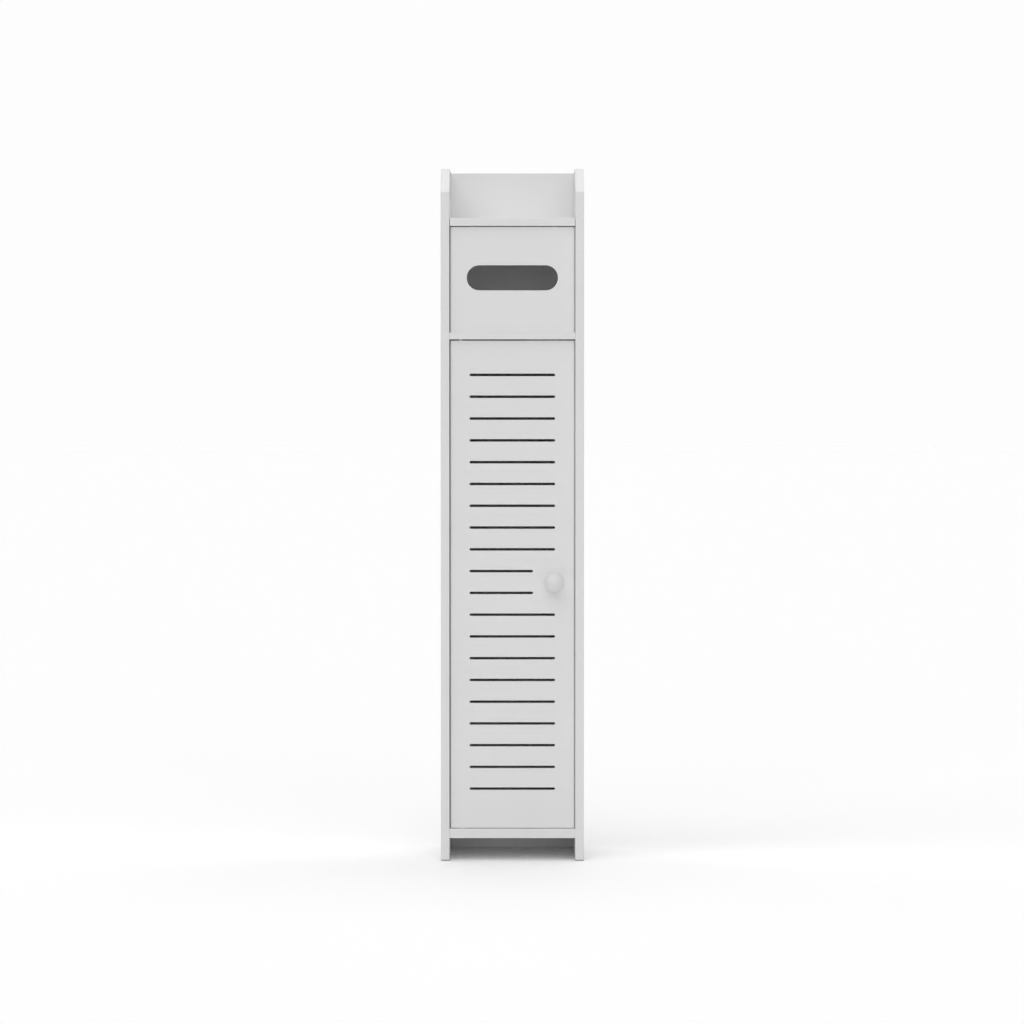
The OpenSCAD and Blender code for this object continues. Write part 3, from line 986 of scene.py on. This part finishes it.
@dataclass
class Bushes:
    """The nylon bushes that the pivot pins turn in."""

    bore_radius: float = 2.06 * MM
    wall: float = 1.44 * MM
    floor: float = 0.6 * MM
    length: float = 6.0 * MM
    mouth: float = 0.35 * MM
    steps: int = 40  # round the axis

    def profile(self, flange_radius: float, flange_height: float) -> Profile:
        """The half section, with the mouth's plane at height 0.

        Args:
            flange_radius: of the flange, or the bush's own radius where it has none.
            flange_height: how far the flange stands up, or 0.

        Returns:
            Radius and height of each point.
        """
        radius = self.bore_radius + self.wall
        edge = (flange_radius - self.mouth, flange_height - self.mouth)
        shoulder = [(radius, 0.0), (flange_radius, 0.0)] if flange_height else []
        return [
            (0.0, -self.length),
            *arc((radius - self.mouth, self.mouth - self.length), self.mouth, -90, 0, 3),
            *shoulder,
            *arc(edge, self.mouth, 0, 90, 4),
            (self.bore_radius + self.mouth, flange_height),
            (self.bore_radius, flange_height - self.mouth),
            (self.bore_radius, self.floor - self.length),
            (0.0, self.floor - self.length),
        ]

    def build(self) -> None:
        """Turns the four bushes where the frame has them."""
        plain = self.profile(self.bore_radius + self.wall, 0.0)
        mouths = {
            "upper_door_bush": -Axis.Z.value,
            "left_lid_bush": Axis.X.value,
            "right_lid_bush": -Axis.X.value,
        }
        for node, outward in mouths.items():
            at = Box.of(node).centre + outward * (self.length / 2)
            shape = turned(plain, at, outward, self.steps)
            make_piece(f"{node}_turned", shape, Body.CARCASS, Palette.NYLON, node)
        box = Box.of("lower_door_bush")
        flange_height = box.size.z - self.length
        at = Vector((box.centre.x, box.centre.y, box.high.z - flange_height))
        flanged = self.profile(box.size.x / 2, flange_height)
        shape = turned(flanged, at, Axis.Z.value, self.steps)
        make_piece("lower_door_bush_turned", shape, Body.CARCASS, Palette.NYLON, "lower_door_bush")


@dataclass
class SmallParts:
    """Screw caps, bumpers, foot pads, and the fasteners inside the boards."""

    cap_lip: float = 0.12 * MM
    cap_shoulder: float = 70  # degrees that the rounding over the lip turns
    cap_crown: tuple[float, float] = (0.5, 0.97)  # shares of the radius and of the height
    bumper_lip: float = 0.15 * MM
    bumper_flatness: float = 0.8  # 1 for an even dome
    bumper_rings: int = 9
    pad_corner: float = 1.5 * MM
    pad_ease: float = 0.2 * MM
    steps: int = 32  # round the axis

    def cap_profile(self, radius: float, height: float) -> Profile:
        """A low dome over a short upright lip, which a radius and a height set."""
        reach = radius - height
        rise = height - self.cap_lip
        shoulder = arc((reach, self.cap_lip), rise, 0, self.cap_shoulder, 5)
        widened = [(reach + (r - reach) * height / rise, h) for r, h in shoulder]
        lip = [(radius, 0.0), (radius, self.cap_lip)]
        crown = (self.cap_crown[0] * radius, self.cap_crown[1] * height)
        return [(0.0, 0.0), *lip, *widened[1:], crown, (0.0, height)]

    def bumper_profile(self, radius: float, height: float) -> Profile:
        """A dome as high as its height, whose top is pressed slightly flat."""
        lip = self.bumper_lip
        turns = [math.pi / 2 * i / self.bumper_rings for i in range(1, self.bumper_rings)]
        dome = [
            (radius * math.cos(a), lip + (height - lip) * math.sin(a) ** self.bumper_flatness)
            for a in turns
        ]
        return [(0.0, 0.0), (radius, 0.0), (radius, lip), *dome, (0.0, height)]

    def caps(self) -> bmesh.types.BMesh:
        """One cap for each solid of the frame's caps, on the outer face it lies on."""
        parts = []
        for box in solids_of("screw_caps"):
            outward = Axis.X.value * math.copysign(1, box.centre.x)
            at = box.centre - outward * (box.size.x / 2)
            outline = self.cap_profile(box.size.z / 2, box.size.x)
            parts.append(turned(outline, at, outward, self.steps))
        return joined(parts)

    def bumpers(self) -> bmesh.types.BMesh:
        """One dome for each solid of the frame's bumpers."""
        parts = []
        for box in solids_of("lid_bumpers"):
            at = Vector((box.centre.x, box.centre.y, box.low.z))
            outline = self.bumper_profile(box.size.x / 2, box.size.z)
            parts.append(turned(outline, at, Axis.Z.value, self.steps))
        return joined(parts)

    def pads(self) -> bmesh.types.BMesh:
        """Die-cut pads with round corners, one for each solid of the frame's pads."""
        parts = []
        for box in solids_of("foot_pads"):
            bm = bmesh.new()
            bmesh.ops.create_cube(bm, size=1.0)
            place = Matrix.Translation(box.centre) @ Matrix.Diagonal((*box.size, 1))
            bmesh.ops.transform(bm, matrix=place, verts=bm.verts)
            upright = [
                e for e in bm.edges if abs((e.verts[0].co - e.verts[1].co).z) > MERGE_DISTANCE
            ]
            rounded(bm, upright, self.pad_corner, segments=5)
            ease(bm, self.pad_ease, segments=2)
            parts.append(bm)
        return joined(parts)

    def build(self) -> None:
        """Builds the small parts that show, and dresses those inside the boards."""
        body = Body.CARCASS
        make_piece("screw_caps_domed", self.caps(), body, Palette.CAP, "screw_caps")
        make_piece("lid_bumper_domes", self.bumpers(), body, Palette.SILICONE, "lid_bumpers")
        make_piece("foot_pads_foam", self.pads(), body, Palette.FOAM, "foot_pads")
        refinish(Palette.STEEL, "tissue_front_screws", "shelf_screws", "back_screws")
        refinish(Palette.BEECH_ACROSS, "shelf_dowels")
        refinish(Palette.BEECH_UP, "tissue_front_dowels")


# ---------------------------------------------------------------- studio and camera


@dataclass(frozen=True)
class Lamp:
    """A broad, far lamp."""

    name: str
    azimuth: float  # where it stands: degrees from straight in front, to the right
    elevation: float  # degrees above the horizon
    strength: float
    spread: float = 50  # degrees that it fills in the sky

    def build(self) -> None:
        """Hangs the lamp."""
        turn = math.radians(self.azimuth)
        rise = math.radians(self.elevation)
        level = math.cos(rise)
        towards = Vector((math.sin(turn) * level, -math.cos(turn) * level, math.sin(rise)))
        data = bpy.data.lights.new(self.name, "SUN")
        data.energy = self.strength
        data.angle = math.radians(self.spread)
        lamp = add_object(self.name, data)
        lamp.rotation_euler = towards.to_track_quat("Z", "Y").to_euler()


@dataclass
class Studio:
    """A pale floor, and broad lamps all round, as in a tent of white cloth."""

    floor_half: float = 40.0
    floor_drop: float = 0.05 * MM
    floor_bounce: float = 0.90
    floor_shown: float = 1.19
    sky_shown: float = 0.985
    bounces: int = 10  # between white boards, where light goes back and forth many times
    lamps: tuple[Lamp, ...] = (
        Lamp("key_lamp", -30, 55, 0.74),
        Lamp("fill_lamp", 30, 55, 0.27),
        Lamp("front_lamp", 0, 15, 0.65),
        Lamp("front_right_lamp", 30, 25, 0.22),
        Lamp("left_lamp", -60, 35, 0.21),
        Lamp("top_lamp", 150, 75, 0.64),
        Lamp("back_left_lamp", -150, 55, 0.51),
        Lamp("back_right_lamp", 150, 55, 0.43),
    )

    def seen(self, wiring: Wiring) -> bpy.types.NodeSocket:
        """1 for rays that show the background, straight or in gloss or glass, and otherwise 0."""
        path = wiring.node("LightPath", {}).outputs
        mirrored = wiring.math("MAXIMUM", path["Is Glossy Ray"], path["Is Transmission Ray"])
        return wiring.math("MAXIMUM", path["Is Camera Ray"], mirrored)

    def build_sky(self) -> None:
        """Sets a sky that shows white, and leaves the light to the lamps."""
        world = bpy.data.worlds.new("sky")
        wiring = Wiring.fresh(world)
        light = wiring.node(
            "Background", {"Color": grey(self.sky_shown), "Strength": self.seen(wiring)}
        )
        wiring.node("OutputWorld", {"Surface": light.outputs[0]})
        bpy.context.scene.world = world

    def build_floor(self) -> None:
        """Lays the floor, which shows white and bounces light as a plain pale floor does."""
        bm = bmesh.new()
        bmesh.ops.create_grid(bm, x_segments=1, y_segments=1, size=self.floor_half)
        bmesh.ops.translate(bm, vec=(0, 0, -self.floor_drop), verts=bm.verts)
        mesh = mesh_of("floor", bm)
        paint = bpy.data.materials.new("floor_paint")
        wiring = Wiring.fresh(paint)
        colour = wiring.blend(self.seen(wiring), grey(self.floor_bounce), grey(self.floor_shown))
        surface = wiring.node("BsdfDiffuse", {"Color": colour})
        wiring.node("OutputMaterial", {"Surface": surface.outputs[0]})
        mesh.materials.append(paint)
        add_object("floor", mesh)

    def build(self) -> None:
        """Sets up the studio, and how colours are shown."""
        self.build_sky()
        self.build_floor()
        for lamp in self.lamps:
            lamp.build()
        bpy.context.scene.cycles.diffuse_bounces = self.bounces
        bpy.context.scene.view_settings.view_transform = "Standard"


@dataclass(frozen=True)
class CameraRig:
    """A long lens far in front of the cabinet, a little above its middle."""

    distance: float = 5.1  # from the front edges of the sides
    aside: float = -0.4 * MM  # from the cabinet's middle, to the right
    height: float = 0.539
    aim_height: float = 0.403  # of the point in the plane of the front edges that it looks at
    lens: float = 155.7
    sensor: float = 36.0
    sight: float = 200.0  # how far it sees

    def build(self) -> None:
        """Sets up the camera."""
        front = Box.of("left_side").low.y
        at = Vector((self.aside, front - self.distance, self.height))
        aim = Vector((self.aside, front, self.aim_height))
        data = bpy.data.cameras.new("camera")
        data.lens = self.lens
        data.sensor_width = self.sensor
        data.clip_end = self.sight
        camera = add_object("camera", data)
        camera.location = at
        camera.rotation_euler = (aim - at).to_track_quat("-Z", "Y").to_euler()
        bpy.context.scene.camera = camera


def main() -> None:
    """Builds the cabinet's sub-assemblies in order, and then the studio and the camera."""
    logging.basicConfig(level=logging.INFO, format="%(name)s: %(message)s")
    assemblies = (
        Carcass(), Lid(), Door(), Catch(), Bushes(), SmallParts(), Studio(), CameraRig(),
    )
    for assembly in assemblies:
        LOG.info("building: %s", type(assembly).__name__)
        assembly.build()


if __name__ == "__main__":
    main()
